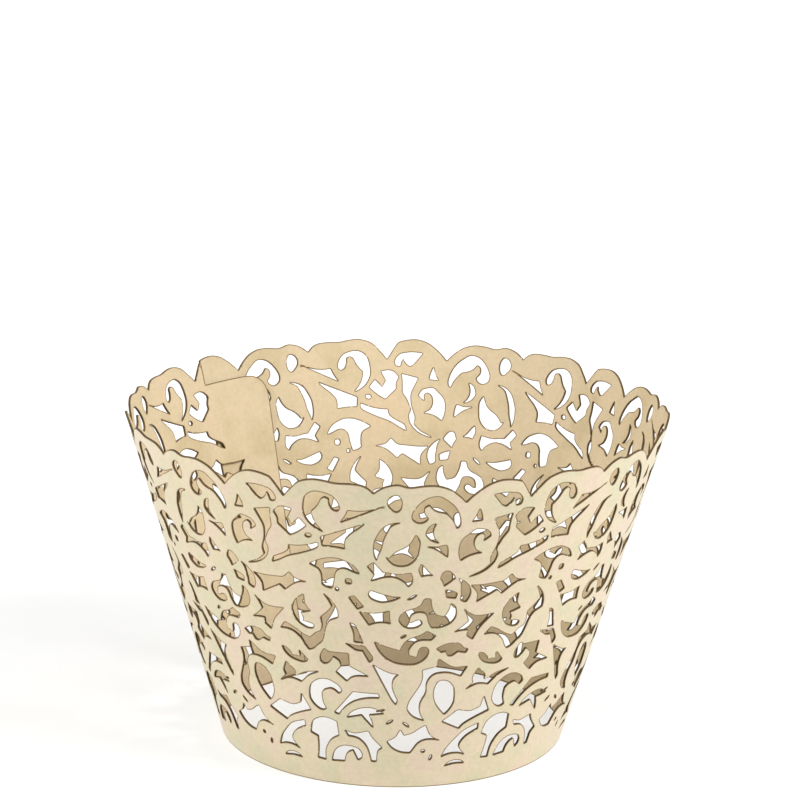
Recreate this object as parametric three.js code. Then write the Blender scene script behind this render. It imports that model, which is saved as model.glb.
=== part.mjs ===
// A cupcake wrapper laser-cut from one sheet of pearl card. The blank is a band of a flat ring: a plain
// base band, a scrolling vine of openings repeated along it and a scalloped rim. It is rolled into a tapered
// sleeve, and one plain end tucks behind the other as a lap seam. Millimetres, +Z up, origin at the centre
// of the base ring.
import * as THREE from "three";

// Driving sizes of the rolled sleeve
const BASE_RADIUS = 25;
const RIM_RADIUS = 39;
const HEIGHT = 48.4;
const CARD = 0.3;
const BASE_BAND = 3;

// The vine repeats round the sleeve, and one repeat faces the front
const REPEATS = 7;

// The lap seam, at the left of the back: a plain end strip that lies behind the last repeat
const SEAM_REPEAT = 2;
const LAP_WIDTH = 8;
const LAP_CORNER = 4;
const LAP_SHORT_OF_RIM = 4;
const LAP_GAP = 0.2;
const EDGE_GAP = 0.4;
const EDGE_BORDER = 1;
const LAP_BEND = 3;

// How finely the card is faceted
const OPENING_CHORD_ERROR = 0.25;
const RIM_CHORD_ERROR = 0.1;
const SMALLEST_CORNER = 0.6;
const BASE_STEPS = 8;
const STRIP_GRID = 5;
const STRIP_EDGE_STEPS = 10;
const LAP_CORNER_STEPS = 4;
const CIRCLE_TOLERANCE = 1e-6;

const CARD_COLOUR = "#e2d8bf";

// The vine below is drawn over a flat blank of this base radius, from the top of the base band up
const DRAWN_RADIUS = 89.85;
const DRAWN_BAND = 3;

// One repeat's openings, counter-clockwise, each corner as [x, h] or [x, h, bow]: x across the repeat from
// its middle, h above the base edge, bow how far the side that starts there curves out of the opening.
const OPENINGS = {
  rimCurl: [
    [-9.7, 42.0, -0.35], [-11.4, 45.0, 0.2], [-10.1, 47.3, -0.25], [-8.9, 47.3, 0.2],
    [-8.3, 45.6, 0.2], [-7.4, 46.0, 0.5], [-9.6, 48.4, 0.9], [-12.6, 45.8, 0.9],
  ],
  stemWedge: [[-7.3, 43.9], [-1.9, 46.8, -0.35], [-6.3, 45.9, -0.1]],
  stemGap: [[-9.8, 39.7, -0.1], [-6.7, 39.7, -0.35], [-6.1, 42.2, 0.1], [-4.1, 44.0], [-10.0, 41.1]],
  longTaper: [
    [-17.1, 35.2, 0.1], [-14.9, 36.9, 0.1], [-10.7, 39.1, 0.2], [-10.5, 40.1, -0.25],
    [-14.6, 38.7, -0.2], [-15.1, 37.3], [-16.9, 36.1],
  ],
  budHole: [[-1.1, 47.2], [-0.1, 46.1, 0.1], [0.6, 46.3, 0.2], [0.7, 48.3, 0.2], [-0.3, 48.7, 0.2]],
  archGap: [
    [8.3, 43.1, 0.1], [8.8, 43.7, 0.5], [6.9, 47.7, 0.2], [5.0, 48.5, 0.5], [2.2, 45.4, 0.1],
    [2.8, 44.4, 0.1],
    [3.9, 44.4, 0.1], [4.4, 45.1, -0.1], [3.7, 46.2, -0.2], [4.6, 47.1, 0.1], [5.7, 45.9, -0.3],
    [7.6, 44.8, -0.1],
  ],
  smallHook: [
    [5.5, 44.1, 0.2], [4.3, 43.2, 0.2], [4.5, 41.8, 0.1], [5.9, 41.0, -0.1], [5.0, 42.4, -0.1],
  ],
  smallFin: [[4.4, 40.5, -0.1], [6.2, 39.5], [7.1, 38.6, 0.1], [7.0, 40.5, 0.1], [5.9, 40.3]],
  roundLeft: [
    [0.7, 44.4, 0.6], [-2.3, 42.3, 0.1], [-2.8, 40.3, 0.1], [-2.4, 38.3, -0.1], [-1.8, 40.0, -0.1],
    [-1.2, 42.6, -0.4],
  ],
  roundRight: [
    [2.8, 42.4, -0.1], [1.7, 40.4, 0.3], [-0.6, 38.7, -0.1], [-1.1, 38.9, 0.2], [0.6, 37.2, 0.8],
    [3.3, 40.2, 0.3],
  ],
  crest: [
    [13.4, 47.7], [14.7, 45.7, 0.2], [15.6, 45.7, 0.1], [16.3, 46.6, -0.1], [16.6, 45.3, 0.2],
    [17.6, 45.6, 0.5], [15.8, 47.6, 0.05],
  ],
  crestFin: [[10.4, 43.9], [11.8, 43.9, 0.1], [11.4, 45.8, -0.1]],
  ribbon: [
    [10.2, 35.0, 0.2], [13.2, 36.0, 0.2], [14.2, 38.0], [13.9, 38.8], [14.9, 40.5], [15.7, 41.3, -0.1],
    [16.2, 44.1], [13.6, 43.8], [14.5, 41.2], [14.1, 39.4], [13.2, 37.7], [13.3, 36.6], [12.2, 35.7],
  ],
  spiral: [
    [11.9, 38.6, -0.2], [10.6, 40.0, -0.1], [11.2, 41.7, -0.3], [12.4, 41.3], [12.1, 40.5],
    [13.1, 41.1, 0.3],
    [11.9, 42.5, 0.3], [10.3, 42.1], [9.3, 41.4, 0.1], [8.7, 39.8, 0.1], [9.0, 37.8, -0.3],
  ],
  rosetteTop: [
    [-16.2, 42.7], [-15.4, 43.6], [-14.8, 44.3], [-15.0, 44.9, 0.2], [-16.5, 44.4, 0.1],
    [-16.9, 43.0],
  ],
  rosetteHook: [
    [-14.7, 40.4], [-13.9, 40.6], [-13.3, 41.2], [-12.9, 42.0], [-12.4, 42.5], [-13.2, 43.5],
    [-13.9, 43.4], [-14.3, 42.0], [-14.7, 41.4], [-15.4, 41.6], [-16.6, 42.0, 0.2],
  ],
  claw: [
    [-4.7, 35.9, 0.25], [-6.5, 37.7, 0.1], [-8.5, 38.0, 0.2], [-11.6, 36.4], [-10.1, 35.8, -0.1],
    [-9.8, 33.4, 0.1], [-8.5, 33.0, 0.1], [-8.1, 35.8, -0.1], [-6.7, 36.7, 0.1],
  ],
  clawEye: [[-6.6, 34.5, 0.13], [-6.15, 34.05, 0.13], [-5.7, 34.5, 0.13], [-6.15, 34.95, 0.13]],
  saddle: [
    [-3.6, 37.2], [-2.6, 35.9], [-3.1, 34.9], [-1.2, 35.7, -0.2], [1.0, 35.2, -0.1], [1.9, 34.1, 0.1],
    [2.5, 35.0], [2.3, 36.3], [0.3, 36.0, 0.1], [-1.5, 36.3], [-2.8, 37.9],
  ],
  saddleFin: [[3.3, 36.8], [3.7, 35.7, -0.1], [5.2, 35.8, -0.1], [4.2, 37.0], [3.6, 37.7]],
  kite: [[6.3, 35.2, -0.1], [6.8, 33.9], [8.3, 35.0, 0.1], [7.4, 36.3, 0.1], [6.6, 36.1]],
  eyelid: [[7.0, 33.3], [7.2, 32.0], [8.4, 31.7], [8.6, 32.5], [8.0, 32.9]],
  thorn: [[8.8, 34.9, -0.2], [9.2, 33.0, -0.1], [9.1, 31.4, 0.1], [9.9, 30.9, 0.1], [10.6, 32.5, 0.3]],
  star: [
    [-12.1, 33.3, -0.1], [-13.9, 33.5], [-14.6, 34.2], [-15.4, 33.1], [-17.0, 32.8, -0.1], [-20.2, 32.3],
    [-19.0, 31.4, -0.1], [-18.7, 29.7], [-16.2, 31.7, -0.1], [-15.3, 31.1], [-13.8, 32.7, -0.1],
  ],
  smile: [
    [-3.4, 32.4, 0.1], [-2.3, 31.6, 0.1], [-0.8, 31.6, 0.1], [0.9, 32.4, -0.1], [-1.0, 32.6],
    [-3.1, 33.3, 0.1],
  ],
  bolt: [
    [-9.6, 31.9, -0.1], [-8.4, 29.9], [-9.0, 29.0], [-10.0, 27.9], [-9.6, 26.5], [-8.9, 27.6],
    [-7.6, 28.3, 0.1], [-7.9, 30.1, 0.1],
  ],
  comma: [
    [-12.5, 31.1, 0.1], [-14.0, 29.4, 0.2], [-13.9, 26.9, 0.3], [-11.5, 25.6, 0.2], [-11.0, 26.4, 0.1],
    [-12.6, 26.6, 0.2], [-13.0, 27.9], [-11.5, 28.6], [-12.4, 29.5],
  ],
  tile: [[-6.1, 31.9], [-4.9, 30.1], [-4.1, 30.6], [-5.4, 32.2]],
  shield: [[-4.6, 29.7], [-3.3, 27.6, -0.35], [-0.4, 28.0, -0.1], [-0.6, 30.1, -0.3]],
  stemTop: [[-5.9, 27.7], [-5.3, 25.9], [-5.3, 24.6], [-4.1, 24.5], [-5.2, 27.4]],
  twinScroll: [
    [4.1, 31.9, -0.1], [3.4, 30.6, 0.1], [1.0, 29.7, 0.25], [1.1, 27.6, 0.3], [3.5, 27.5, 0.2],
    [3.8, 28.5, 0.1],
    [2.9, 28.4, -0.1], [2.1, 28.2, -0.4], [3.3, 30.1, -0.5], [4.7, 28.4], [5.2, 27.2, 0.1],
    [7.0, 27.2, 0.5],
    [8.6, 29.6, 0.2], [7.8, 30.9, -0.2], [6.9, 28.8], [5.7, 29.2, -0.2], [5.0, 31.9, 0.1],
  ],
  cross: [
    [9.7, 29.7, -0.1], [10.4, 27.6, -0.1], [8.4, 26.1, -0.1], [10.4, 26.1], [10.2, 25.2], [11.0, 24.4],
    [12.0, 26.3], [14.0, 28.1, -0.1], [11.0, 28.3],
  ],
  flounce: [
    [6.0, 23.6], [6.6, 22.9], [7.3, 23.0], [7.6, 22.2], [8.1, 22.1], [9.0, 22.7], [10.1, 22.3],
    [10.4, 22.9],
    [9.8, 23.1], [9.1, 24.1], [7.4, 24.3],
  ],
  fishHook: [
    [-2.5, 24.9, 0.9], [1.7, 21.1, 0.6], [4.9, 22.8, 0.3], [4.2, 24.1, 0.1], [3.5, 23.4, -0.1],
    [3.2, 22.3, 0.1],
    [2.2, 22.6, -0.2], [2.4, 24.3, -0.3], [4.3, 25.2], [5.2, 25.1], [5.8, 25.8], [4.6, 26.6],
    [3.8, 26.0],
    [2.0, 25.4, 0.1], [1.0, 23.5], [0.0, 23.8, -0.1],
  ],
  stemBarb: [
    [-6.5, 24.2], [-5.0, 23.2], [-4.1, 23.2], [-3.2, 21.4, 0.1], [-2.7, 22.2], [-3.9, 24.0, -0.1],
  ],
  stemLeft: [
    [-2.7, 21.0], [0.0, 15.1], [0.5, 14.4], [0.7, 15.1, -0.1], [-0.2, 17.8, -0.2],
    [0.8, 19.5, -0.1], [-0.9, 19.9],
  ],
  hanger: [
    [4.1, 20.1, -0.1], [4.1, 18.0], [2.2, 14.6, 0.2], [2.5, 12.6, 0.1], [4.4, 11.5, -0.1],
    [3.6, 13.5, -0.2],
    [4.7, 16.2, -0.1], [4.7, 18.4, -0.3], [7.0, 19.6, -0.1], [9.5, 18.4], [10.4, 19.9], [8.3, 20.0],
    [6.3, 21.8], [6.2, 20.6],
  ],
  leaf: [[7.3, 12.2, 0.4], [8.7, 15.3, 0.4], [7.3, 18.2, 0.3], [5.9, 17.3, 0.1], [5.8, 14.8, 0.1]],
  spur: [
    [10.3, 16.0], [11.8, 16.6, -0.1], [13.6, 16.0], [15.0, 17.2], [16.8, 17.8], [14.8, 17.7],
    [13.0, 16.9],
    [13.1, 17.9], [12.0, 19.2], [11.2, 17.7], [11.4, 16.9],
  ],
  sickle: [
    [12.1, 21.8, 0.1], [12.5, 20.4, 0.2], [14.9, 19.3, 0.1], [15.6, 19.8], [14.7, 21.3],
    [14.6, 20.2, 0.1],
    [13.4, 20.3, 0.1], [12.9, 21.4, 0.1],
  ],
  wing: [
    [-16.0, 24.4, -0.3], [-13.4, 24.2, -0.1], [-12.3, 22.7], [-11.7, 22.0], [-11.0, 22.4, -0.1],
    [-9.8, 23.8],
    [-9.5, 25.4], [-10.6, 25.2], [-11.5, 24.1, -0.1], [-13.4, 24.8, 0.1], [-15.3, 25.6],
  ],
  clover: [
    [-10.0, 20.4, 0.1], [-9.2, 20.2, 0.1], [-8.3, 21.6, -0.1], [-7.2, 20.9, -0.1], [-6.4, 20.5],
    [-6.1, 22.5],
    [-8.9, 22.3], [-9.5, 22.7], [-10.1, 21.4],
  ],
  beak: [[-7.8, 19.1], [-6.3, 17.8, -0.1], [-5.2, 18.9], [-3.3, 19.0], [-4.4, 19.5], [-7.1, 19.9]],
  moon: [
    [-7.0, 16.0, 0.2], [-8.2, 17.3, 0.1], [-9.7, 17.6, 0.5], [-11.8, 14.8, 0.5], [-10.0, 12.1, 0.1],
    [-9.2, 12.5, -0.1], [-9.9, 14.3, -0.35], [-9.1, 16.0, -0.15], [-8.0, 16.0], [-7.4, 15.5],
  ],
  underCurl: [[-8.0, 12.1], [-7.4, 11.9, -1.1], [-1.8, 15.4], [-1.9, 16.1], [-5.4, 16.1], [-7.0, 13.6]],
  swallow: [
    [-6.2, 11.6], [-4.2, 12.3], [-2.6, 10.3, 0.1], [-3.2, 12.4], [-1.1, 12.8], [-2.6, 13.7, 0.1],
    [-5.0, 13.2, 0.1],
  ],
  wave: [
    [-0.6, 8.0, 0.1], [0.6, 6.4, 0.1], [2.6, 6.0], [3.8, 8.0, -0.25], [6.7, 7.8, -0.1], [5.2, 8.9],
    [4.7, 10.6, 0.1], [3.0, 9.4], [1.7, 9.0], [1.2, 10.0], [0.6, 8.7],
  ],
  sail: [
    [7.0, 11.0], [9.5, 9.3, -0.1], [10.5, 10.2, -0.1], [13.9, 11.3], [13.1, 14.0], [12.6, 12.4],
    [11.2, 11.9], [9.2, 12.6],
  ],
  boot: [
    [7.0, 4.8, -0.1], [8.8, 5.2, -0.1], [10.4, 4.5, -0.1], [9.4, 6.3], [10.2, 7.5, -0.1], [12.3, 8.5],
    [12.4, 9.5], [10.2, 8.9], [8.7, 7.4], [7.8, 6.4],
  ],
  footSlit: [[7.5, 3.1], [9.0, 3.3], [10.4, 3.0], [9.9, 3.6], [8.9, 3.9], [8.0, 3.6]],
  keyhole: [
    [-11.5, 7.7], [-10.4, 7.3, -0.1], [-10.4, 3.5], [-9.25, 3.5, -0.1], [-9.2, 6.2, -0.2], [-7.4, 8.2],
    [-7.7, 10.5, 0.1], [-9.5, 11.0, 0.1], [-11.3, 9.8],
  ],
  archFoot: [
    [-8.3, 3.6], [-6.5, 3.9, -0.1], [-6.2, 5.4, -0.1], [-5.3, 6.0], [-5.0, 5.3], [-4.6, 4.4, 0.1],
    [-4.0, 5.2, 0.4], [-5.6, 6.8, 0.5], [-8.1, 5.0],
  ],
  flame: [
    [-6.5, 9.3], [-6.0, 8.4, -0.3], [-3.6, 7.5, -0.1], [-2.7, 4.4], [-2.1, 4.4], [-2.0, 6.2],
    [-1.3, 6.9], [-2.3, 8.0, -0.1], [-3.2, 9.6], [-5.2, 8.9],
  ],
};

// One repeat's scalloped rim, from its right edge to its left edge, in the same terms
const RIM = [
  [17.4, 48.96, 0.3], [13.4, 49.75, 0.25], [9.5, 47.1, 0.25], [6.4, 49.9, 0.3],
  [1.8, 49.75, 0.3], [-0.9, 50.25, 0.1],
  [-2.95, 48.85, 0.1], [-4.3, 50.0, 0.15], [-8.1, 49.85, 0.25], [-12.2, 49.9, 0.2], [-14.2, 48.1, 0.05],
  [-15.3, 46.5], [-16.4, 47.9, 0.05],
];

const taper = Math.atan2(RIM_RADIUS - BASE_RADIUS, HEIGHT);
const baseDistance = BASE_RADIUS / Math.sin(taper);
const slant = HEIGHT / Math.cos(taper);
const fullTurn = 2 * Math.PI * Math.sin(taper);
const pitch = fullTurn / REPEATS;
const seamTurn = -(SEAM_REPEAT + 0.5) * pitch;

// Where a drawn corner lies on the drawing's own blank, as angle and distance above the base edge
function drawnPlace([x, h]) {
  return { angle: Math.atan2(x, DRAWN_RADIUS + h), up: Math.hypot(x, DRAWN_RADIUS + h) - DRAWN_RADIUS };
}

const drawnPitch = 2 * drawnPlace(RIM[0]).angle;
const drawnSlant = Math.max(...RIM.map((corner) => drawnPlace(corner).up));

// A point of the real blank is a Vector2 of angle round the blank's centre and distance above the base edge.
function onBlank(repeat, corner) {
  const { angle, up } = drawnPlace(corner);
  const share = (up - DRAWN_BAND) / (drawnSlant - DRAWN_BAND);
  return new THREE.Vector2((repeat + angle / drawnPitch) * pitch, BASE_BAND + share * (slant - BASE_BAND));
}

// The points from one drawn corner up to the next, along a side that bows out
function side(corner, next, chordError) {
  const [x, h, bow = 0] = corner;
  const start = new THREE.Vector2(x, h);
  const end = new THREE.Vector2(next[0], next[1]);
  const across = end.clone().sub(start);
  const bend = new THREE.Vector2(across.y, -across.x).setLength(2 * bow);
  const middle = start.clone().lerp(end, 0.5).add(bend);
  const steps = Math.max(1, Math.round(Math.sqrt(Math.abs(bow) / chordError)));
  const points = new THREE.QuadraticBezierCurve(start, middle, end).getPoints(steps);
  return points.slice(0, -1);
}

// Leaves out the corners that hardly change the outline
function withoutSlightCorners(points) {
  const kept = [...points];
  for (;;) {
    const areas = kept.map((point, i) => {
      const before = kept[(i + kept.length - 1) % kept.length];
      const after = kept[(i + 1) % kept.length];
      return Math.abs(after.clone().sub(point).cross(before.clone().sub(point))) / 2;
    });
    const least = areas.indexOf(Math.min(...areas));
    if (areas[least] >= SMALLEST_CORNER || kept.length <= 4) return kept;
    kept.splice(least, 1);
  }
}

function openingOutline(corners) {
  const points = corners.flatMap((corner, i) => {
    return side(corner, corners[(i + 1) % corners.length], OPENING_CHORD_ERROR);
  });
  return withoutSlightCorners(points);
}

// The rim of all repeats, from the last one back to the first
function rimOutline() {
  const points = RIM.flatMap((corner, i) => {
    const next = RIM[i + 1] ?? [-RIM[0][0], RIM[0][1]];
    return side(corner, next, RIM_CHORD_ERROR);
  });
  const rim = [];
  for (let repeat = REPEATS - 1; repeat >= 0; repeat--) {
    for (const point of points) {
      rim.push(onBlank(repeat, point.toArray()));
    }
  }
  rim.push(onBlank(-1, RIM[0]));
  return rim;
}

// The plain end strip's top and free edge, from the rim down to the base
function stripOutline() {
  const top = slant - LAP_SHORT_OF_RIM;
  const corner = LAP_CORNER / (baseDistance + top);
  const left = -0.5 * pitch;
  const free = left - LAP_WIDTH / baseDistance;
  const roundCorner = new THREE.QuadraticBezierCurve(
    new THREE.Vector2(free + corner, top),
    new THREE.Vector2(free, top),
    new THREE.Vector2(free, top - LAP_CORNER),
  );
  const freeEdge = [];
  for (let i = 1; i < STRIP_EDGE_STEPS; i++) {
    freeEdge.push(new THREE.Vector2(free, (top - LAP_CORNER) * (1 - i / STRIP_EDGE_STEPS)));
  }
  return [new THREE.Vector2(left, top), ...roundCorner.getPoints(LAP_CORNER_STEPS), ...freeEdge];
}

// Points inside the plain strip that let it follow the curve of the sleeve
function stripPoints() {
  const points = [];
  for (let column = 0; column < 2; column++) {
    for (let row = 1; row < STRIP_GRID; row++) {
      const angle = -0.5 * pitch - ((column + 0.5) * LAP_WIDTH) / 2 / baseDistance;
      points.push(new THREE.Vector2(angle, (row * (slant - LAP_SHORT_OF_RIM)) / STRIP_GRID));
    }
  }
  return points;
}

function baseOutline() {
  const start = -0.5 * pitch - LAP_WIDTH / baseDistance;
  const end = (REPEATS - 0.5) * pitch - EDGE_GAP / baseDistance;
  const steps = (REPEATS + 1) * BASE_STEPS;
  const points = [];
  for (let i = 0; i <= steps; i++) {
    points.push(new THREE.Vector2(THREE.MathUtils.lerp(start, end, i / steps), 0));
  }
  return points;
}

function blankOutline() {
  const rim = rimOutline();
  rim[0].x -= EDGE_GAP / (baseDistance + rim[0].y);
  return [...baseOutline(), ...rim, ...stripOutline()];
}

// An opening that would break the outer end's edge is left out
function blankOpenings() {
  const lastAngle = (REPEATS - 0.5) * pitch - EDGE_BORDER / baseDistance;
  const openings = [];
  for (let repeat = 0; repeat < REPEATS; repeat++) {
    for (const corners of Object.values(OPENINGS)) {
      const opening = openingOutline(corners).map((point) => onBlank(repeat, point.toArray()));
      if (opening.every((point) => point.x < lastAngle)) openings.push(opening);
    }
  }
  return openings;
}

// The blank laid flat, in x and y about its centre
function laidFlat(point) {
  const distance = baseDistance + point.y;
  return new THREE.Vector2(distance * Math.sin(point.x), distance * Math.cos(point.x));
}

// Swaps the shared side of two triangles wherever the other diagonal is the better one, so that the card
// bends evenly
function withShortDiagonals(points, triangles) {
  const faces = triangles.map((face) => [...face]);
  const owners = new Map();
  const key = (a, b) => `${a},${b}`;
  const own = (index) => faces[index].forEach((a, i) => owners.set(key(a, faces[index][(i + 1) % 3]), index));
  faces.forEach((face, index) => own(index));
  const insideCircle = (a, b, c, d) => {
    const [p, q, r] = [a, b, c].map((i) => points[i].clone().sub(points[d]));
    const depth = p.lengthSq() * q.cross(r) - q.lengthSq() * p.cross(r) + r.lengthSq() * p.cross(q);
    return depth > CIRCLE_TOLERANCE;
  };
  const stack = [...owners.keys()];
  while (stack.length > 0) {
    const [a, b] = stack.pop().split(",").map(Number);
    const near = owners.get(key(a, b));
    const far = owners.get(key(b, a));
    if (near === undefined || far === undefined) continue;
    const c = faces[near].find((i) => i !== a && i !== b);
    const d = faces[far].find((i) => i !== a && i !== b);
    if (!insideCircle(a, b, c, d)) continue;
    owners.delete(key(a, b));
    owners.delete(key(b, a));
    faces[near] = [a, d, c];
    faces[far] = [d, b, c];
    own(near);
    own(far);
    stack.push(key(a, d), key(d, b), key(b, c), key(c, a));
  }
  return faces;
}

// How far the card lies inside the sleeve's cone: the end strip tucks in behind the last repeat
function tuck(angle) {
  const fromSeam = (angle + 0.5 * pitch) * baseDistance;
  return -(CARD + LAP_GAP) * (1 - THREE.MathUtils.smoothstep(fromSeam, -EDGE_GAP, LAP_BEND));
}

// A point of the blank on the rolled sleeve, on the outer face at depth 0 and the inner face at depth CARD
function rolled(point, depth) {
  const shift = tuck(point.x) - depth;
  const turn = (point.x + seamTurn + 0.5 * pitch) / Math.sin(taper);
  let radius = (baseDistance + point.y) * Math.sin(taper) + shift * Math.cos(taper);
  let height = point.y * Math.cos(taper) - shift * Math.sin(taper);
  if (point.y === 0) {
    radius = BASE_RADIUS + shift / Math.cos(taper);
    height = 0;
  }
  return [radius * Math.sin(turn), -radius * Math.cos(turn), height];
}

function makeWrapper() {
  const outline = blankOutline();
  const openings = blankOpenings();
  const points = [outline, ...openings, stripPoints()].flat();
  const flat = points.map(laidFlat);
  const holes = [...openings, ...stripPoints().map((point) => [point])].map((loop) => loop.map(laidFlat));
  const rough = THREE.ShapeUtils.triangulateShape(outline.map(laidFlat), holes);
  const faces = withShortDiagonals(flat, rough);

  const count = points.length;
  const positions = [0, CARD].flatMap((depth) => points.flatMap((point) => rolled(point, depth)));
  const index = [];
  const sides = new Set(faces.flatMap(([a, b, c]) => [`${a},${b}`, `${b},${c}`, `${c},${a}`]));
  for (const [a, b, c] of faces) {
    index.push(a, b, c, a + count, c + count, b + count);
  }
  for (const text of sides) {
    const [a, b] = text.split(",").map(Number);
    if (!sides.has(`${b},${a}`)) index.push(b, a, a + count, b, a + count, b + count);
  }

  const geometry = new THREE.BufferGeometry();
  geometry.setAttribute("position", new THREE.Float32BufferAttribute(positions, 3));
  geometry.setIndex(index);
  geometry.computeVertexNormals();
  const material = new THREE.MeshStandardMaterial({ color: CARD_COLOUR, roughness: 0.6, metalness: 0 });
  const wrapper = new THREE.Mesh(geometry, material);
  wrapper.name = "wrapper";
  return wrapper;
}

const cupcakeWrapper = new THREE.Group();
cupcakeWrapper.add(makeWrapper());

export default cupcakeWrapper;
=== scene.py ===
import math

import bpy
from mathutils import Matrix, Vector, geometry


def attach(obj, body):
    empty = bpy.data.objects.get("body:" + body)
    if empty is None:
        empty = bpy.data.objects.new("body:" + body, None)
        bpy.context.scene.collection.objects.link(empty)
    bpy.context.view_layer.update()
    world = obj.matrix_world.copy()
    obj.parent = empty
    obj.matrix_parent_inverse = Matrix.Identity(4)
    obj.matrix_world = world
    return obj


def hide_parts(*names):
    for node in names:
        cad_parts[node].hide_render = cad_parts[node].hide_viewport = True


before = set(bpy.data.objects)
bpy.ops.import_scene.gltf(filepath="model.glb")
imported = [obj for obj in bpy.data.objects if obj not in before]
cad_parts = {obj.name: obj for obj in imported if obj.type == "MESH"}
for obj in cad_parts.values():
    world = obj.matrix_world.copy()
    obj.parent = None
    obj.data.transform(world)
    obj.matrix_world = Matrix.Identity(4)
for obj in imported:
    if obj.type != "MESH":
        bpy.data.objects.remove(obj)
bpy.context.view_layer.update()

# One millimetre in metres
MM = 0.001

# Sizes of the rolled sleeve, in millimetres
BASE_RADIUS = 25.0
RIM_RADIUS = 39.0
HEIGHT = 48.4
CARD = 0.3
BASE_BAND = 3.0

# The number of repeats, and the one that faces the front, counted from 0 at the seam
REPEATS = 7
FRONT_REPEAT = 2

# The end strip, in millimetres: its width, the reach of its free corner's bend, how far it stops short of
# the rim, and its gap behind the last repeat
LAP_WIDTH = 8.0
LAP_CORNER = 4.0
LAP_SHORT_OF_RIM = 4.0
LAP_GAP = 0.2

# The seam, in millimetres: how far the last repeat's edge stops short of its full pitch, how near to that
# pitch an opening may come, and the stretch over which the first repeat comes out to the sleeve's cone
EDGE_GAP = 0.4
EDGE_BORDER = 1.0
LAP_BEND = 3.0

# How finely the card is modelled: the spacing of points along an edge and inside the card, the points on
# each side of a fine cut, and the distance below which points merge
STEP = 0.5
GRID = 1.3
FINE_STEPS = 6
MERGE_DISTANCE = 1e-5

# How outlines are rounded: gentle turns by much, sharper tips by little, and neither by more than a share
# of the shorter side. Faces that meet at more than the sharp angle are shaded apart.
GENTLE_TURN = math.radians(52)
GENTLE_ROUND = 1.1
TIP_ROUND = 0.16
ROUND_SHARE = 0.42
ROUND_DETAIL = 1.5
SHARP_ANGLE = math.radians(35)

# The breadth of the browned line beside a cut: partly laser scorch, partly painted shade that stands in
# for the dark shadow lines along the cuts
SCORCH_AND_SHADE_WIDTH = 0.2

# The vine below is drawn over a flat blank of this base radius, from the top of the base band up
DRAWN_RADIUS = 89.85
DRAWN_BAND = 3.0

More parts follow.
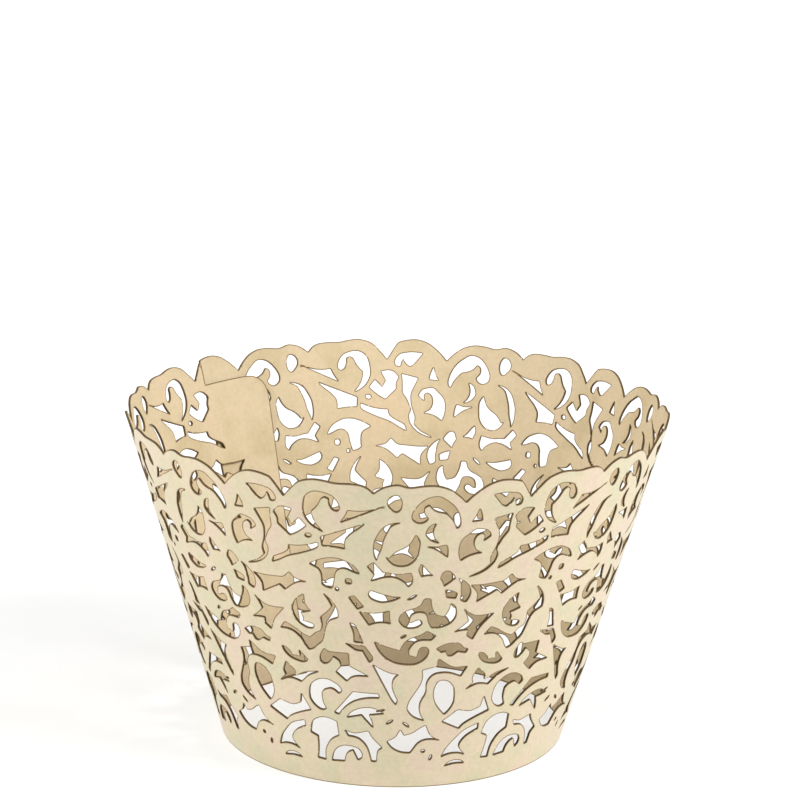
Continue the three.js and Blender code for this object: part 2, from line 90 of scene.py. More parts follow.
# One repeat's openings, counter-clockwise, each corner as [x, h] or [x, h, bow]: x across the repeat from
# its middle, h above the base edge, bow how far the side that starts there curves out of the opening.
OPENINGS = {
    "rim_curl": [
        [-9.7, 42.0, -0.35], [-11.4, 45.0, 0.2], [-10.1, 47.3, -0.25], [-8.9, 47.3, 0.2],
        [-8.3, 45.6, 0.2], [-7.4, 46.0, 0.5], [-9.6, 48.4, 0.9], [-12.6, 45.8, 0.9],
    ],
    "stem_wedge": [[-7.3, 43.9], [-1.9, 46.8, -0.35], [-6.3, 45.9, -0.1]],
    "stem_gap": [[-9.8, 39.7, -0.1], [-6.7, 39.7, -0.35], [-6.1, 42.2, 0.1], [-4.1, 44.0], [-10.0, 41.1]],
    "long_taper": [
        [-17.1, 35.2, 0.1], [-14.9, 36.9, 0.1], [-10.7, 39.1, 0.2], [-10.5, 40.1, -0.25],
        [-14.6, 38.7, -0.2], [-15.1, 37.3], [-16.9, 36.1],
    ],
    "bud_hole": [[-1.1, 47.2], [-0.1, 46.1, 0.1], [0.6, 46.3, 0.2], [0.7, 48.3, 0.2], [-0.3, 48.7, 0.2]],
    "arch_gap": [
        [8.3, 43.1, 0.1], [8.8, 43.7, 0.5], [6.9, 47.7, 0.2], [5.0, 48.5, 0.5], [2.2, 45.4, 0.1],
        [2.8, 44.4, 0.1], [3.9, 44.4, 0.1], [4.4, 45.1, -0.1], [3.7, 46.2, -0.2], [4.6, 47.1, 0.1],
        [5.7, 45.9, -0.3], [7.6, 44.8, -0.1],
    ],
    "small_hook": [
        [5.5, 44.1, 0.2], [4.3, 43.2, 0.2], [4.5, 41.8, 0.1], [5.9, 41.0, -0.1], [5.0, 42.4, -0.1],
    ],
    "small_fin": [[4.4, 40.5, -0.1], [6.2, 39.5], [7.1, 38.6, 0.1], [7.0, 40.5, 0.1], [5.9, 40.3]],
    "round_left": [
        [0.7, 44.4, 0.6], [-2.3, 42.3, 0.1], [-2.8, 40.3, 0.1], [-2.4, 38.3, -0.1], [-1.8, 40.0, -0.1],
        [-1.2, 42.6, -0.4],
    ],
    "round_right": [
        [2.8, 42.4, -0.1], [1.7, 40.4, 0.3], [-0.6, 38.7, -0.1], [-1.1, 38.9, 0.2], [0.6, 37.2, 0.8],
        [3.3, 40.2, 0.3],
    ],
    "crest": [
        [13.4, 47.7], [14.7, 45.7, 0.2], [15.6, 45.7, 0.1], [16.3, 46.6, -0.1], [16.6, 45.3, 0.2],
        [17.6, 45.6, 0.5], [15.8, 47.6, 0.05],
    ],
    "crest_fin": [[10.4, 43.9], [11.8, 43.9, 0.1], [11.4, 45.8, -0.1]],
    "ribbon": [
        [10.2, 35.0, 0.2], [13.2, 36.0, 0.2], [14.2, 38.0], [13.9, 38.8], [14.9, 40.5],
        [15.7, 41.3, -0.1], [16.2, 44.1], [13.6, 43.8], [14.5, 41.2], [14.1, 39.4], [13.2, 37.7],
        [13.3, 36.6], [12.2, 35.7],
    ],
    "spiral": [
        [11.9, 38.6, -0.2], [10.6, 40.0, -0.1], [11.2, 41.7, -0.3], [12.4, 41.3], [12.1, 40.5],
        [13.1, 41.1, 0.3], [11.9, 42.5, 0.3], [10.3, 42.1], [9.3, 41.4, 0.1], [8.7, 39.8, 0.1],
        [9.0, 37.8, -0.3],
    ],
    "rosette": [
        [-16.2, 41.8], [-14.4, 40.4, 0.15], [-12.1, 42.5], [-13.1, 43.5], [-14.1, 42.2], [-14.8, 43.2],
        [-14.2, 44.7], [-15.6, 44.8, 0.15], [-16.8, 43.5], [-16.3, 42.8, -0.05],
    ],
    "claw": [
        [-4.7, 35.9, 0.25], [-6.5, 37.7, 0.1], [-8.5, 38.0, 0.2], [-11.6, 36.4], [-10.1, 35.8, -0.1],
        [-9.8, 33.4, 0.1], [-8.5, 33.0, 0.1], [-8.1, 35.8, -0.1], [-6.7, 36.7, 0.1],
    ],
    "claw_eye": [[-6.6, 34.5, 0.13], [-6.15, 34.05, 0.13], [-5.7, 34.5, 0.13], [-6.15, 34.95, 0.13]],
    "saddle": [
        [-3.6, 37.2], [-2.6, 35.9], [-3.1, 34.9], [-1.2, 35.7, -0.2], [1.0, 35.2, -0.1], [1.9, 34.1, 0.1],
        [2.5, 35.0], [2.3, 36.3], [0.3, 36.0, 0.1], [-1.5, 36.3], [-2.8, 37.9],
    ],
    "saddle_fin": [[3.3, 36.8], [3.7, 35.7, -0.1], [5.2, 35.8, -0.1], [4.2, 37.0], [3.6, 37.7]],
    "kite": [[6.3, 35.2, -0.1], [6.8, 33.9], [8.3, 35.0, 0.1], [7.4, 36.3, 0.1], [6.6, 36.1]],
    "eyelid": [[7.0, 33.3], [7.2, 32.0], [8.4, 31.7], [8.6, 32.5], [8.0, 32.9]],
    "thorn": [
        [8.8, 34.9, -0.2], [9.2, 33.0, -0.1], [9.1, 31.4, 0.1], [9.9, 30.9, 0.1], [10.6, 32.5, 0.3],
    ],
    "star": [
        [-12.1, 33.3, -0.1], [-13.9, 33.5], [-14.6, 34.2], [-15.4, 33.1], [-17.0, 32.8, -0.1],
        [-20.2, 32.3], [-19.0, 31.4, -0.1], [-18.7, 29.7], [-16.2, 31.7, -0.1], [-15.3, 31.1],
        [-13.8, 32.7, -0.1],
    ],
    "smile": [
        [-3.4, 32.4, 0.1], [-2.3, 31.6, 0.1], [-0.8, 31.6, 0.1], [0.9, 32.4, -0.1], [-1.0, 32.6],
        [-3.1, 33.3, 0.1],
    ],
    "comma": [
        [-12.5, 31.1, 0.1], [-14.0, 29.4, 0.2], [-13.9, 26.9, 0.3], [-11.5, 25.6, 0.2],
        [-11.0, 26.4, 0.1], [-12.6, 26.6, 0.2], [-13.0, 27.9], [-11.5, 28.6], [-12.4, 29.5],
    ],
    "tile": [[-6.1, 31.9], [-4.9, 30.1], [-4.1, 30.6], [-5.4, 32.2]],
    "shield": [[-4.6, 29.7], [-3.3, 27.6, -0.35], [-0.4, 28.0, -0.1], [-0.6, 30.1, -0.3]],
    "stem_top": [[-5.9, 27.7], [-5.3, 25.9], [-5.3, 24.6], [-4.1, 24.5], [-5.2, 27.4]],
    "twin_scroll": [
        [4.1, 31.9, -0.1], [3.4, 30.6, 0.1], [1.0, 29.7, 0.25], [1.1, 27.6, 0.3], [3.5, 27.5, 0.2],
        [3.8, 28.5, 0.1], [2.9, 28.4, -0.1], [2.1, 28.2, -0.4], [3.3, 30.1, -0.5], [4.7, 28.4],
        [5.2, 27.2, 0.1], [7.0, 27.2, 0.5], [8.6, 29.6, 0.2], [7.8, 30.9, -0.2], [6.9, 28.8],
        [5.7, 29.2, -0.2], [5.0, 31.9, 0.1],
    ],
    "cross": [
        [9.7, 29.7, -0.1], [10.4, 27.6, -0.1], [8.4, 26.1, -0.1], [10.4, 26.1], [10.2, 25.2],
        [11.0, 24.4], [12.0, 26.3], [14.0, 28.1, -0.1], [11.0, 28.3],
    ],
    "flounce": [
        [6.0, 23.6], [6.6, 22.9], [7.3, 23.0], [7.6, 22.2], [8.1, 22.1], [9.0, 22.7], [10.1, 22.3],
        [10.4, 22.9], [9.8, 23.1], [9.1, 24.1], [7.4, 24.3],
    ],
    "fish_hook": [
        [-2.5, 24.9, 0.9], [1.7, 21.1, 0.6], [4.9, 22.8, 0.3], [4.2, 24.1, 0.1], [3.5, 23.4, -0.1],
        [3.2, 22.3, 0.1], [2.2, 22.6, -0.2], [2.4, 24.3, -0.3], [4.3, 25.2], [5.2, 25.1], [5.8, 25.8],
        [4.6, 26.6], [3.8, 26.0], [2.0, 25.4, 0.1], [1.0, 23.5], [0.0, 23.8, -0.1],
    ],
    "stem_barb": [
        [-6.5, 24.2], [-5.0, 23.2], [-4.1, 23.2], [-3.2, 21.4, 0.1], [-2.7, 22.2], [-3.9, 24.0, -0.1],
    ],
    "stem_left": [
        [-2.7, 21.0], [0.0, 15.1], [0.5, 14.4], [0.7, 15.1, -0.1], [-0.2, 17.8, -0.2], [0.8, 19.5, -0.1],
        [-0.9, 19.9],
    ],
    "hanger": [
        [4.1, 20.1, -0.1], [4.1, 18.0], [2.2, 14.6, 0.2], [2.5, 12.6, 0.1], [4.4, 11.5, -0.1],
        [3.6, 13.5, -0.2], [4.7, 16.2, -0.1], [4.7, 18.4, -0.3], [7.0, 19.6, -0.1], [9.5, 18.4],
        [10.4, 19.9], [8.3, 20.0], [6.3, 21.8], [6.2, 20.6],
    ],
    "leaf": [[7.3, 12.2, 0.4], [8.7, 15.3, 0.4], [7.3, 18.2, 0.3], [5.9, 17.3, 0.1], [5.8, 14.8, 0.1]],
    "spur": [
        [10.3, 16.0], [11.8, 16.6, -0.1], [13.6, 16.0], [15.0, 17.2], [16.8, 17.8], [14.8, 17.7],
        [13.0, 16.9], [13.1, 17.9], [12.0, 19.2], [11.2, 17.7], [11.4, 16.9],
    ],
    "sickle": [
        [12.1, 21.8, 0.1], [12.5, 20.4, 0.2], [14.9, 19.3, 0.1], [15.6, 19.8], [14.7, 21.3],
        [14.6, 20.2, 0.1], [13.4, 20.3, 0.1], [12.9, 21.4, 0.1],
    ],
    "bolt_and_wing": [
        [-16.0, 24.4, -0.3], [-13.4, 24.2, -0.1], [-12.3, 22.7], [-11.7, 22.0], [-11.0, 22.4, -0.1],
        [-9.8, 23.8], [-9.5, 25.4], [-9.35, 26.4], [-8.9, 27.6], [-7.6, 28.3, 0.1], [-7.9, 30.1, 0.1],
        [-9.6, 31.9, -0.1], [-8.4, 29.9], [-9.0, 29.0], [-10.0, 27.9], [-9.75, 26.5], [-9.9, 25.6],
        [-10.6, 25.2], [-11.5, 24.1, -0.1], [-13.4, 24.8, 0.1], [-15.3, 25.6],
    ],
    "clover_and_beak": [
        [-10.0, 20.4, 0.1], [-9.2, 20.2, 0.1], [-8.3, 21.6, -0.1], [-7.2, 20.9], [-7.1, 20.1],
        [-7.8, 19.1], [-6.3, 17.8, -0.1], [-5.2, 18.9], [-3.3, 19.0], [-4.4, 19.6], [-6.0, 20.4],
        [-6.1, 22.5], [-8.9, 22.3], [-9.5, 22.7], [-10.1, 21.4],
    ],
    "moon": [
        [-7.0, 16.0, 0.2], [-8.2, 17.3, 0.1], [-9.7, 17.6, 0.5], [-11.8, 14.8, 0.5], [-10.0, 12.1, 0.1],
        [-9.2, 12.5, -0.1], [-9.9, 14.3, -0.35], [-9.1, 16.0, -0.15], [-8.0, 16.0], [-7.4, 15.5],
    ],
    "under_curl": [
        [-8.0, 12.1], [-7.4, 11.9, -1.1], [-1.8, 15.4], [-1.9, 16.1], [-5.4, 16.1], [-7.0, 13.6],
    ],
    "swallow": [
        [-6.2, 11.6], [-4.2, 12.3], [-2.6, 10.3, 0.1], [-3.2, 12.4], [-1.1, 12.8], [-2.6, 13.7, 0.1],
        [-5.0, 13.2, 0.1],
    ],
    "wave": [
        [-0.6, 8.0, 0.1], [0.6, 6.4, 0.1], [2.6, 6.0], [3.8, 8.0, -0.25], [6.7, 7.8, -0.1], [5.2, 8.9],
        [4.7, 10.6, 0.1], [3.0, 9.4], [1.7, 9.0], [1.2, 10.0], [0.6, 8.7],
    ],
    "sail": [
        [7.0, 11.0], [9.5, 9.3, -0.1], [10.5, 10.2, -0.1], [13.9, 11.3], [13.1, 14.0], [12.6, 12.4],
        [11.2, 11.9], [9.2, 12.6],
    ],
    "boot": [
        [7.0, 4.8, -0.1], [8.8, 5.2, -0.1], [10.4, 4.5, -0.1], [9.4, 6.3], [10.2, 7.5, -0.1], [12.3, 8.5],
        [12.4, 9.5], [10.2, 8.9], [8.7, 7.4], [7.8, 6.4],
    ],
    "foot_slit": [[7.5, 3.1], [9.0, 3.3], [10.4, 3.0], [9.9, 3.6], [8.9, 3.9], [8.0, 3.6]],
    "keyhole": [
        [-11.5, 7.7], [-10.4, 7.3, -0.1], [-10.4, 3.5], [-9.25, 3.5, -0.1], [-9.2, 6.2, -0.2],
        [-7.4, 8.2], [-7.7, 10.5, 0.1], [-9.5, 11.0, 0.1], [-11.3, 9.8],
    ],
    "arch_foot": [
        [-8.3, 3.6], [-6.5, 3.9, -0.1], [-6.2, 5.4, -0.1], [-5.3, 6.0], [-5.0, 5.3], [-4.6, 4.4, 0.1],
        [-4.0, 5.2, 0.4], [-5.6, 6.8, 0.5], [-8.1, 5.0],
    ],
    "flame": [
        [-6.5, 9.3], [-6.0, 8.4, -0.3], [-3.6, 7.5, -0.1], [-2.7, 4.4], [-2.1, 4.4], [-2.0, 6.2],
        [-1.3, 6.9], [-2.3, 8.0, -0.1], [-3.2, 9.6], [-5.2, 8.9],
    ],
}

# The finest cuts of each repeat, as narrow as the laser's beam: two ends and the widest breadth between
FINE_CUTS = [
    [-7.95, 32.95, -7.5, 33.05, 0.5],
    [1.9, 31.95, 3.1, 32.75, 0.3],
    [-0.75, 11.05, 0.15, 11.75, 0.3],
    [1.55, 11.35, 2.35, 10.55, 0.3],
    [4.15, 6.2, 4.65, 6.2, 0.5],
    [5.35, 4.5, 5.6, 5.4, 0.3],
    [1.05, 25.65, 1.75, 26.15, 0.3],
    [-2.2, 13.0, -1.0, 13.5, 0.25],
    [-12.2, 40.85, -11.35, 41.15, 0.6],
]

# One repeat's scalloped rim, from its right edge to its left edge, in the same terms
RIM = [
    [17.4, 48.96, 0.3], [13.4, 49.75, 0.25], [9.5, 47.1, 0.25], [6.4, 49.9, 0.3], [1.8, 49.75, 0.3],
    [-0.9, 50.25, 0.1], [-2.95, 48.85, 0.1], [-4.3, 50.0, 0.15], [-8.1, 49.85, 0.25], [-12.2, 49.9, 0.2],
    [-14.2, 48.1, 0.05], [-15.3, 46.5], [-16.4, 47.9, 0.05],
]


def drawn_place(x, h):
    """Where a drawn corner lies on the drawing's own blank, as angle and distance above the base edge."""
    return math.atan2(x, DRAWN_RADIUS + h), math.hypot(x, DRAWN_RADIUS + h) - DRAWN_RADIUS


drawn_pitch = 2 * drawn_place(*RIM[0][:2])[0]
drawn_slant = max(drawn_place(*corner[:2])[1] for corner in RIM)
taper = math.atan2(RIM_RADIUS - BASE_RADIUS, HEIGHT)
base_distance = BASE_RADIUS / math.sin(taper)
slant = HEIGHT / math.cos(taper)
pitch = 2 * math.pi * math.sin(taper) / REPEATS
seam_turn = -(FRONT_REPEAT + 0.5) * pitch

# Angles on the blank: where the end strip begins, its free end, and the last repeat's outer end
lap_start = -0.5 * pitch
free_end = lap_start - LAP_WIDTH / base_distance
outer_end = (REPEATS - 0.5) * pitch


def on_blank(repeat, x, h):
    """Angle round the blank's centre and distance above the base edge."""
    angle, up = drawn_place(x, h)
    share = (up - DRAWN_BAND) / (drawn_slant - DRAWN_BAND)
    return (repeat + angle / drawn_pitch) * pitch, BASE_BAND + share * (slant - BASE_BAND)


def on_curve(start, middle, end, t):
    """The point of a quadratic curve at t, from 0 at its start to 1 at its end."""
    return (1 - t) ** 2 * start + 2 * t * (1 - t) * middle + t**2 * end


def curve(start, middle, end, step=STEP):
    """Points along a quadratic curve, both ends included."""
    length = (middle - start).length + (end - middle).length
    steps = max(1, math.ceil(length / step))
    return [on_curve(start, middle, end, i / steps) for i in range(steps + 1)]


def bowed_side(corner, following):
    """The three control points of the side from one drawn corner to the next."""
    start = Vector(corner[:2])
    end = Vector(following[:2])
    across = end - start
    bow = corner[2] if len(corner) > 2 else 0
    away = Vector((across.y, -across.x)).normalized() * 2 * bow
    return start, (start + end) / 2 + away, end


def cut_short(side, before, after):
    """The part of a quadratic side that is left when its ends are given to the corners' rounding."""
    start, middle, end = side
    length = max((end - start).length, 1e-6)
    a = before / length
    b = 1 - after / length
    slope = 2 * ((1 - a) * (middle - start) + a * (end - middle))
    first = on_curve(*side, a)
    return first, first + slope * (b - a) / 2, on_curve(*side, b)


def rounding(side, following):
    """How far from a corner its rounding starts: far on a gentle bend and close on a sharp tip."""
    into = side[2] - side[1]
    out = following[1] - following[0]
    turn = into.angle(out)
    reach = GENTLE_ROUND if turn < GENTLE_TURN else TIP_ROUND
    room = min((side[2] - side[0]).length, (following[2] - following[0]).length)
    return min(reach, ROUND_SHARE * room)


def smooth_outline(corners, closed=True):
    """A drawn outline as close-set points, with its gentle bends smooth and its tips a little round."""
    count = len(corners)
    last = count if closed else count - 1
    sides = [bowed_side(corners[i], corners[(i + 1) % count]) for i in range(last)]
    rounds = [rounding(sides[i], sides[(i + 1) % last]) for i in range(last)]
    if not closed:
        rounds[-1] = 0
    points = []
    for i in range(last):
        before = rounds[i - 1] if closed or i > 0 else 0
        after = rounds[i]
        left = cut_short(sides[i], before, after)
        points += curve(*left)[:-1]
        if after > 0:
            following = cut_short(sides[(i + 1) % last], after, 0)
            step = min(STEP, after / ROUND_DETAIL)
            points += curve(left[2], sides[i][2], following[0], step)[:-1]
    return points


def fine_cut(x0, h0, x1, h1, breadth):
    """A slender almond-shaped cut between two points, counter-clockwise."""
    start = Vector((x0, h0))
    end = Vector((x1, h1))
    length = (end - start).length
    across = Vector((h1 - h0, x0 - x1)) / length
    points = []
    for side in (1, -1):
        for i in range(FINE_STEPS):
            t = i / FINE_STEPS if side > 0 else 1 - i / FINE_STEPS
            half = breadth * math.sqrt(t * (1 - t))
            points.append(tuple(start.lerp(end, t) + across * half * side))
    return points


def rim_outline():
    """The rim of all repeats, from the last one back to the first."""
    corners = RIM + [[-RIM[0][0], RIM[0][1]]]
    points = smooth_outline(corners, closed=False)
    rim = []
    for repeat in reversed(range(REPEATS)):
        rim += [on_blank(repeat, *point) for point in points]
    rim.append(on_blank(-1, *RIM[0][:2]))
    angle, up = rim[0]
    rim[0] = (angle - EDGE_GAP / (base_distance + up), up)
    return rim


def run(start, end):
    """Evenly spaced points from start up to, but not at, end, both as (angle, height)."""
    wide = (end[0] - start[0]) * (base_distance + start[1])
    steps = max(1, round(math.hypot(wide, end[1] - start[1]) / STEP))
    return [tuple(s + (e - s) * i / steps for s, e in zip(start, end)) for i in range(steps)]


def blank_outline():
    """The flat blank's outer edge, counter-clockwise from the free corner of the end strip."""
    outer = outer_end - EDGE_GAP / base_distance
    top = slant - LAP_SHORT_OF_RIM
    corner = LAP_CORNER / (base_distance + top)
    rim = rim_outline()
    outline = run((free_end, 0.0), (outer, 0.0))
    outline += run((outer, 0.0), rim[0])
    outline += rim
    outline += run(rim[-1], (lap_start, top))[1:]
    outline += run((lap_start, top), (free_end + corner, top))
    start = Vector((free_end + corner, top))
    end = Vector((free_end, top - LAP_CORNER))
    outline += [(p.x, p.y) for p in curve(start, Vector((free_end, top)), end)][:-1]
    outline += run((free_end, top - LAP_CORNER), (free_end, 0.0))
    return outline


def blank_openings():
    """Each repeat's openings; one that would break the outer end's edge is left out."""
    last_angle = outer_end - EDGE_BORDER / base_distance
    openings = []
    outlines = [smooth_outline(corners) for corners in OPENINGS.values()]
    outlines += [fine_cut(*cut) for cut in FINE_CUTS]
    for repeat in range(REPEATS):
        for outline in outlines:
            opening = [on_blank(repeat, *point) for point in outline]
            if all(angle < last_angle for angle, _ in opening):
                openings.append(opening)
    return openings


def laid_flat(point):
    """A point of the blank, given as angle and distance above the base edge, on a flat sheet."""
    angle, up = point
    distance = base_distance + up
    return Vector((distance * math.sin(angle), distance * math.cos(angle)))


def beside(loop, side):
    """Points a little way into the card beside a cut: right of its loop for side 1, left for -1."""
    flat = [laid_flat(point) for point in loop]
    points = []
    for i, point in enumerate(flat):
        along = flat[(i + 1) % len(flat)] - flat[i - 1]
        away = point + Vector((along.y, -along.x)).normalized() * SCORCH_AND_SHADE_WIDTH * side
        points.append((math.atan2(away.x, away.y), away.length - base_distance))
    return points


def grid_points():
    """Points all over the blank that let the card follow the sleeve's curve."""
    points = []
    wide = outer_end - free_end
    rows = round(slant / GRID)
    for row in range(1, rows):
        up = slant * row / rows
        columns = round(wide * (base_distance + up) / GRID)
        for column in range(1, columns):
            points.append((free_end + wide * (column + 0.5 * (row % 2)) / columns, up))
    return points


def tuck(angle):
    """How far the card lies inside the sleeve's cone: the end strip tucks in behind the last repeat."""
    t = ((angle - lap_start) * base_distance + EDGE_GAP) / (LAP_BEND + EDGE_GAP)
    t = min(max(t, 0.0), 1.0)
    return -(CARD + LAP_GAP) * (1 - t * t * (3 - 2 * t))


def rolled(angle, up, depth):
    """A point of the blank on the rolled sleeve, on the outer face at depth 0; the base edge lies flat."""
    shift = tuck(angle) - depth
    turn = (angle + seam_turn - lap_start) / math.sin(taper)
    on_base_edge = up < 1e-9
    if on_base_edge:
        radius = BASE_RADIUS + shift / math.cos(taper)
        height = 0.0
    else:
        radius = (base_distance + up) * math.sin(taper) + shift * math.cos(taper)
        height = up * math.cos(taper) - shift * math.sin(taper)
    return radius * math.sin(turn) * MM, -radius * math.cos(turn) * MM, height * MM


def lace_faces(loops, extra):
    """The flat blank's points, its faces between outline and openings, and which points lie on a cut."""
    points = [p for loop in loops for p in loop] + extra
    sides = []
    start = 0
    for loop in loops:
        count = len(loop)
        sides += [(start + i, start + (i + 1) % count) for i in range(count)]
        start += count
    flat = [laid_flat(p) for p in points]
    whole_hull = 0
    parts = geometry.delaunay_2d_cdt(flat, sides, [], whole_hull, MERGE_DISTANCE)
    verts, edges, faces, from_points, from_sides, _ = parts
    polar = []
    for vert, sources in zip(verts, from_points):
        if sources:
            polar.append(points[sources[0]])
        else:
            polar.append((math.atan2(vert.x, vert.y), vert.length - base_distance))
    border = {frozenset(edge) for edge, sources in zip(edges, from_sides) if sources}
    edge_points = {i for edge in border for i in edge}
    return polar, kept_faces(faces, border), edge_points


def kept_faces(faces, border):
    """The faces that are card, found by walking in from outside: each border crossed starts or ends it."""
    owners = {}
    for index, face in enumerate(faces):
        for a, b in zip(face, face[1:] + face[:1]):
            owners.setdefault(frozenset((a, b)), []).append(index)
    is_card = [None] * len(faces)
    stack = []
    for edge, touching in owners.items():
        if len(touching) == 1 and is_card[touching[0]] is None:
            is_card[touching[0]] = edge in border
            stack.append(touching[0])
    while stack:
        index = stack.pop()
        face = faces[index]
        for a, b in zip(face, face[1:] + face[:1]):
            edge = frozenset((a, b))
            for other in owners[edge]:
                if is_card[other] is None:
                    is_card[other] = is_card[index] != (edge in border)
                    stack.append(other)
    return [face for face, kept in zip(faces, is_card) if kept]


def make_lace():
    """The wrapper: the flat lace, given the card's thickness and rolled into the sleeve."""
    outline = blank_outline()
    openings = blank_openings()
    fringe = beside(outline, -1) + [point for opening in openings for point in beside(opening, 1)]
    polar, faces, edge_points = lace_faces([outline] + openings, fringe + grid_points())
    used = sorted({i for face in faces for i in face})
    place = {old: new for new, old in enumerate(used)}
    faces = [[place[i] for i in face] for face in faces]
    polar = [polar[i] for i in used]
    # 1 on a cut's edge: where the browned line starts, partly laser scorch and partly painted shade
    scorch_and_shade = [1.0 if i in edge_points else 0.0 for i in used]
    count = len(polar)
    coordinates = [rolled(angle, up, depth) for depth in (0, CARD) for angle, up in polar]
    sides = {(a, b) for face in faces for a, b in zip(face, face[1:] + face[:1])}
    walls = [(b, a, a + count, b + count) for a, b in sides if (b, a) not in sides]
    inner = [[i + count for i in reversed(face)] for face in faces]
    mesh = bpy.data.meshes.new("lace_card")
    mesh.from_pydata(coordinates, [], faces + inner + sorted(walls))
    mesh.attributes.new("scorch_and_shade", "FLOAT", "POINT").data.foreach_set("value", scorch_and_shade * 2)
    for material in (pearl_card(), plain_side(), scorched_edge()):
        mesh.materials.append(material)
    for polygon in mesh.polygons:
        polygon.material_index = min(polygon.index // len(faces), 2)
        polygon.use_smooth = True
    mesh.update()
    mesh.set_sharp_from_angle(angle=SHARP_ANGLE)
    lace = bpy.data.objects.new("lace_card", mesh)
    bpy.context.scene.collection.objects.link(lace)
    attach(lace, "root")
    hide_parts("wrapper")


def new_material(name):
    """A material with its nodes, links and main shader."""
    material = bpy.data.materials.new(name)
    material.use_nodes = True
    nodes = material.node_tree.nodes
    return material, nodes, material.node_tree.links, nodes["Principled BSDF"]


def noise(nodes, links, where, scale, detail=3.0, roughness=0.55):
    """A value from 0 to 1 that drifts from place to place."""
    node = nodes.new("ShaderNodeTexNoise")
    node.inputs["Scale"].default_value = scale
    node.inputs["Detail"].default_value = detail
    node.inputs["Roughness"].default_value = roughness
    links.new(where, node.inputs["Vector"])
    return node.outputs["Fac"]


def ramp(nodes, links, value, stops):
    """The colour that belongs to a value, between stops of position and colour."""
    node = nodes.new("ShaderNodeValToRGB")
    elements = node.color_ramp.elements
    while len(elements) < len(stops):
        elements.new(0.5)
    for element, (position, colour) in zip(elements, stops):
        element.position = position
        element.color = (*colour, 1)
    links.new(value, node.inputs["Fac"])
    return node.outputs["Color"]


def linear(red, green, blue):
    """An sRGB colour given as 0 to 255, in linear light."""
    return tuple(((c / 255 + 0.055) / 1.055) ** 2.4 if c > 10 else c / 3294.6 for c in (red, green, blue))


def times(nodes, links, first, second):
    """Two colours multiplied. The node's numbered sockets are those of its colour kind."""
    mix = nodes.new("ShaderNodeMix")
    mix.data_type = "RGBA"
    mix.blend_type = "MULTIPLY"
    mix.inputs["Factor"].default_value = 1.0
    links.new(first, mix.inputs[6])
    links.new(second, mix.inputs[7])
    return mix.outputs[2]


def card_surface(shader, nodes, links, tints, scale, metallic, roughness):
    """Card of drifting tints with a fibre grain, browned in a fine line along every cut that is partly
    laser scorch and partly painted shade.
    """
    where = nodes.new("ShaderNodeTexCoord").outputs["Object"]
    drift = noise(nodes, links, where, scale)
    first_stop = 0.36
    last_stop = 0.64
    steps = [first_stop + (last_stop - first_stop) * i / (len(tints) - 1) for i in range(len(tints))]
    tint = ramp(nodes, links, drift, list(zip(steps, tints)))
    speck = noise(nodes, links, where, scale=1500.0, detail=4.0, roughness=0.7)
    grain = ramp(nodes, links, speck, [(0.3, (0.9, 0.9, 0.88)), (0.62, (1, 1, 1))])
    cut = nodes.new("ShaderNodeAttribute")
    cut.attribute_name = "scorch_and_shade"
    # The line along every cut: partly laser browning, partly painted shade, darker and wider than the
    # scorch alone
    browning_and_shade = ramp(nodes, links, cut.outputs["Fac"], [(0.08, (1, 1, 1)), (0.55, (0.27, 0.19, 0.08))])
    colour = times(nodes, links, tint, grain)
    links.new(times(nodes, links, colour, browning_and_shade), shader.inputs["Base Color"])
    fibre = noise(nodes, links, where, scale=900.0, detail=5.0, roughness=0.65)
    bump = nodes.new("ShaderNodeBump")
    bump.inputs["Strength"].default_value = 0.25
    bump.inputs["Distance"].default_value = 0.00008
    links.new(fibre, bump.inputs["Height"])
    links.new(bump.outputs["Normal"], shader.inputs["Normal"])
    shader.inputs["Roughness"].default_value = roughness
    shader.inputs["Metallic"].default_value = metallic


def pearl_card():
    """The outer side: ivory with a faint pink and green shimmer."""
    material, nodes, links, shader = new_material("pearl_card")
    tints = [linear(226, 217, 184), linear(231, 217, 184), linear(235, 219, 189), linear(236, 215, 191)]
    card_surface(shader, nodes, links, tints, scale=210.0, metallic=0.12, roughness=0.46)
    shader.inputs["Sheen Weight"].default_value = 0.3
    shader.inputs["Sheen Roughness"].default_value = 0.35
    shader.inputs["Sheen Tint"].default_value = (1.0, 0.96, 0.86, 1)
    return material


def plain_side():
    """The inner side, without the pearl: a duller buff."""
    material, nodes, links, shader = new_material("plain_side")
    tints = [linear(196, 177, 140), linear(206, 188, 154), linear(210, 189, 156)]
    card_surface(shader, nodes, links, tints, scale=120.0, metallic=0.0, roughness=0.7)
    return material


def scorched_edge():
    """The cut through the card, browned by the laser."""
    material, nodes, links, shader = new_material("scorched_edge")
    where = nodes.new("ShaderNodeTexCoord").outputs["Object"]
    burn = noise(nodes, links, where, scale=420.0)
    tone = ramp(nodes, links, burn, [(0.3, linear(54, 38, 12)), (0.7, linear(86, 66, 28))])
    links.new(tone, shader.inputs["Base Color"])
    shader.inputs["Roughness"].default_value = 0.85
    return material


# The camera that the photograph's wrapper was fitted with
CAMERA_ELEVATION = math.radians(15.286)
CAMERA_DISTANCE = 0.44698
CAMERA_TARGET = Vector((0.000371, 0.0, 0.049307))
CAMERA_ROLL = math.radians(1.002)
CAMERA_LENS = 140.3


def make_camera():
    """The camera of the photograph, aimed at its target from the front and above."""
    data = bpy.data.cameras.new("camera")
    data.lens = CAMERA_LENS
    data.sensor_width = 36.0
    data.clip_start = 0.01
    camera = bpy.data.objects.new("camera", data)
    back = Vector((0, -math.cos(CAMERA_ELEVATION), math.sin(CAMERA_ELEVATION)))
    turn = Matrix.Rotation(math.pi / 2 - CAMERA_ELEVATION, 4, "X") @ Matrix.Rotation(CAMERA_ROLL, 4, "Z")
    camera.matrix_world = Matrix.Translation(CAMERA_TARGET + back * CAMERA_DISTANCE) @ turn
    bpy.context.scene.collection.objects.link(camera)
    bpy.context.scene.camera = camera


# Where the lamps point, low on the wrapper's axis
LAMP_AIM = Vector((0, 0, 0.02))


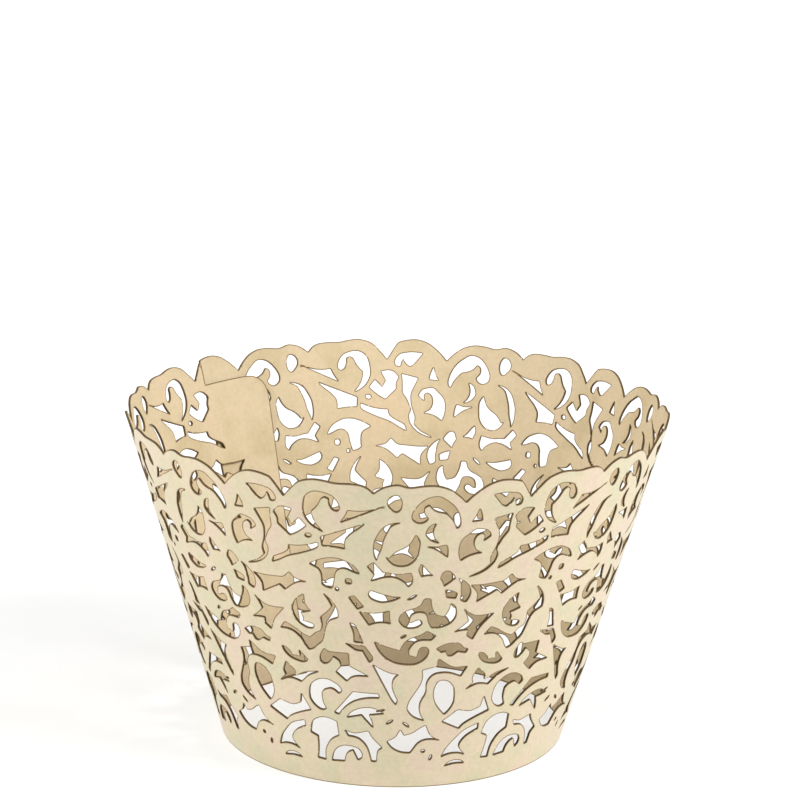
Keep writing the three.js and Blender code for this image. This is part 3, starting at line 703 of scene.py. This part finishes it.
def area_light(name, place, size, power):
    """A round soft lamp, with its size in metres and its power in watts."""
    data = bpy.data.lights.new(name, "AREA")
    data.shape = "DISK"
    data.size = size
    data.energy = power
    light = bpy.data.objects.new(name, data)
    place = Vector(place)
    light.location = place
    light.rotation_euler = (LAMP_AIM - place).to_track_quat("-Z", "Y").to_euler()
    bpy.context.scene.collection.objects.link(light)


def seen_rays(nodes, links):
    """1 for the rays that show the background, namely camera, glossy and transmission rays, else 0."""
    path = nodes.new("ShaderNodeLightPath")
    glossy = nodes.new("ShaderNodeMath")
    glossy.operation = "MAXIMUM"
    links.new(path.outputs["Is Camera Ray"], glossy.inputs[0])
    links.new(path.outputs["Is Glossy Ray"], glossy.inputs[1])
    seen = nodes.new("ShaderNodeMath")
    seen.operation = "MAXIMUM"
    links.new(glossy.outputs[0], seen.inputs[0])
    links.new(path.outputs["Is Transmission Ray"], seen.inputs[1])
    return seen.outputs[0]


def make_light():
    """A world that looks white but lights less than white, and two soft lamps from the front sides."""
    world = bpy.data.worlds.new("studio")
    world.use_nodes = True
    nodes = world.node_tree.nodes
    links = world.node_tree.links
    background = nodes["Background"]
    background.inputs["Color"].default_value = (1, 1, 1, 1)
    seen = seen_rays(nodes, links)
    strength = nodes.new("ShaderNodeMapRange")
    strength.inputs["To Min"].default_value = 0.52
    strength.inputs["To Max"].default_value = 1.0
    links.new(seen, strength.inputs["Value"])
    links.new(strength.outputs["Result"], background.inputs["Strength"])
    bpy.context.scene.world = world
    area_light("key", place=(0.7, -0.34, 0.62), size=0.45, power=9.0)
    area_light("fill", place=(-0.72, -0.34, 0.5), size=0.6, power=6.4)


def make_floor():
    """A floor that looks white wherever the lamps reach it and still shows the wrapper's shadow."""
    reach = 3.0
    corners = [(-reach, -reach, 0), (reach, -reach, 0), (reach, reach, 0), (-reach, reach, 0)]
    mesh = bpy.data.meshes.new("floor")
    mesh.from_pydata(corners, [], [(0, 1, 2, 3)])
    material, nodes, links, shader = new_material("white_floor")
    seen = seen_rays(nodes, links)
    distance = nodes.new("ShaderNodeVectorMath")
    distance.operation = "LENGTH"
    links.new(nodes.new("ShaderNodeTexCoord").outputs["Object"], distance.inputs[0])
    whiter = nodes.new("ShaderNodeMapRange")
    whiter.inputs["From Min"].default_value = 0.07
    whiter.inputs["From Max"].default_value = 0.45
    whiter.inputs["To Min"].default_value = 0.56
    whiter.inputs["To Max"].default_value = 1.0
    links.new(distance.outputs["Value"], whiter.inputs["Value"])
    glow = nodes.new("ShaderNodeMath")
    glow.operation = "MULTIPLY"
    links.new(seen, glow.inputs[0])
    links.new(whiter.outputs["Result"], glow.inputs[1])
    links.new(glow.outputs[0], shader.inputs["Emission Strength"])
    shader.inputs["Emission Color"].default_value = (1, 1, 1, 1)
    shader.inputs["Base Color"].default_value = (0.42, 0.42, 0.41, 1)
    shader.inputs["Roughness"].default_value = 0.95
    shader.inputs["Specular IOR Level"].default_value = 0.0
    mesh.materials.append(material)
    floor = bpy.data.objects.new("floor", mesh)
    bpy.context.scene.collection.objects.link(floor)


make_lace()
make_floor()
make_light()
make_camera()
bpy.context.scene.view_settings.view_transform = "Standard"
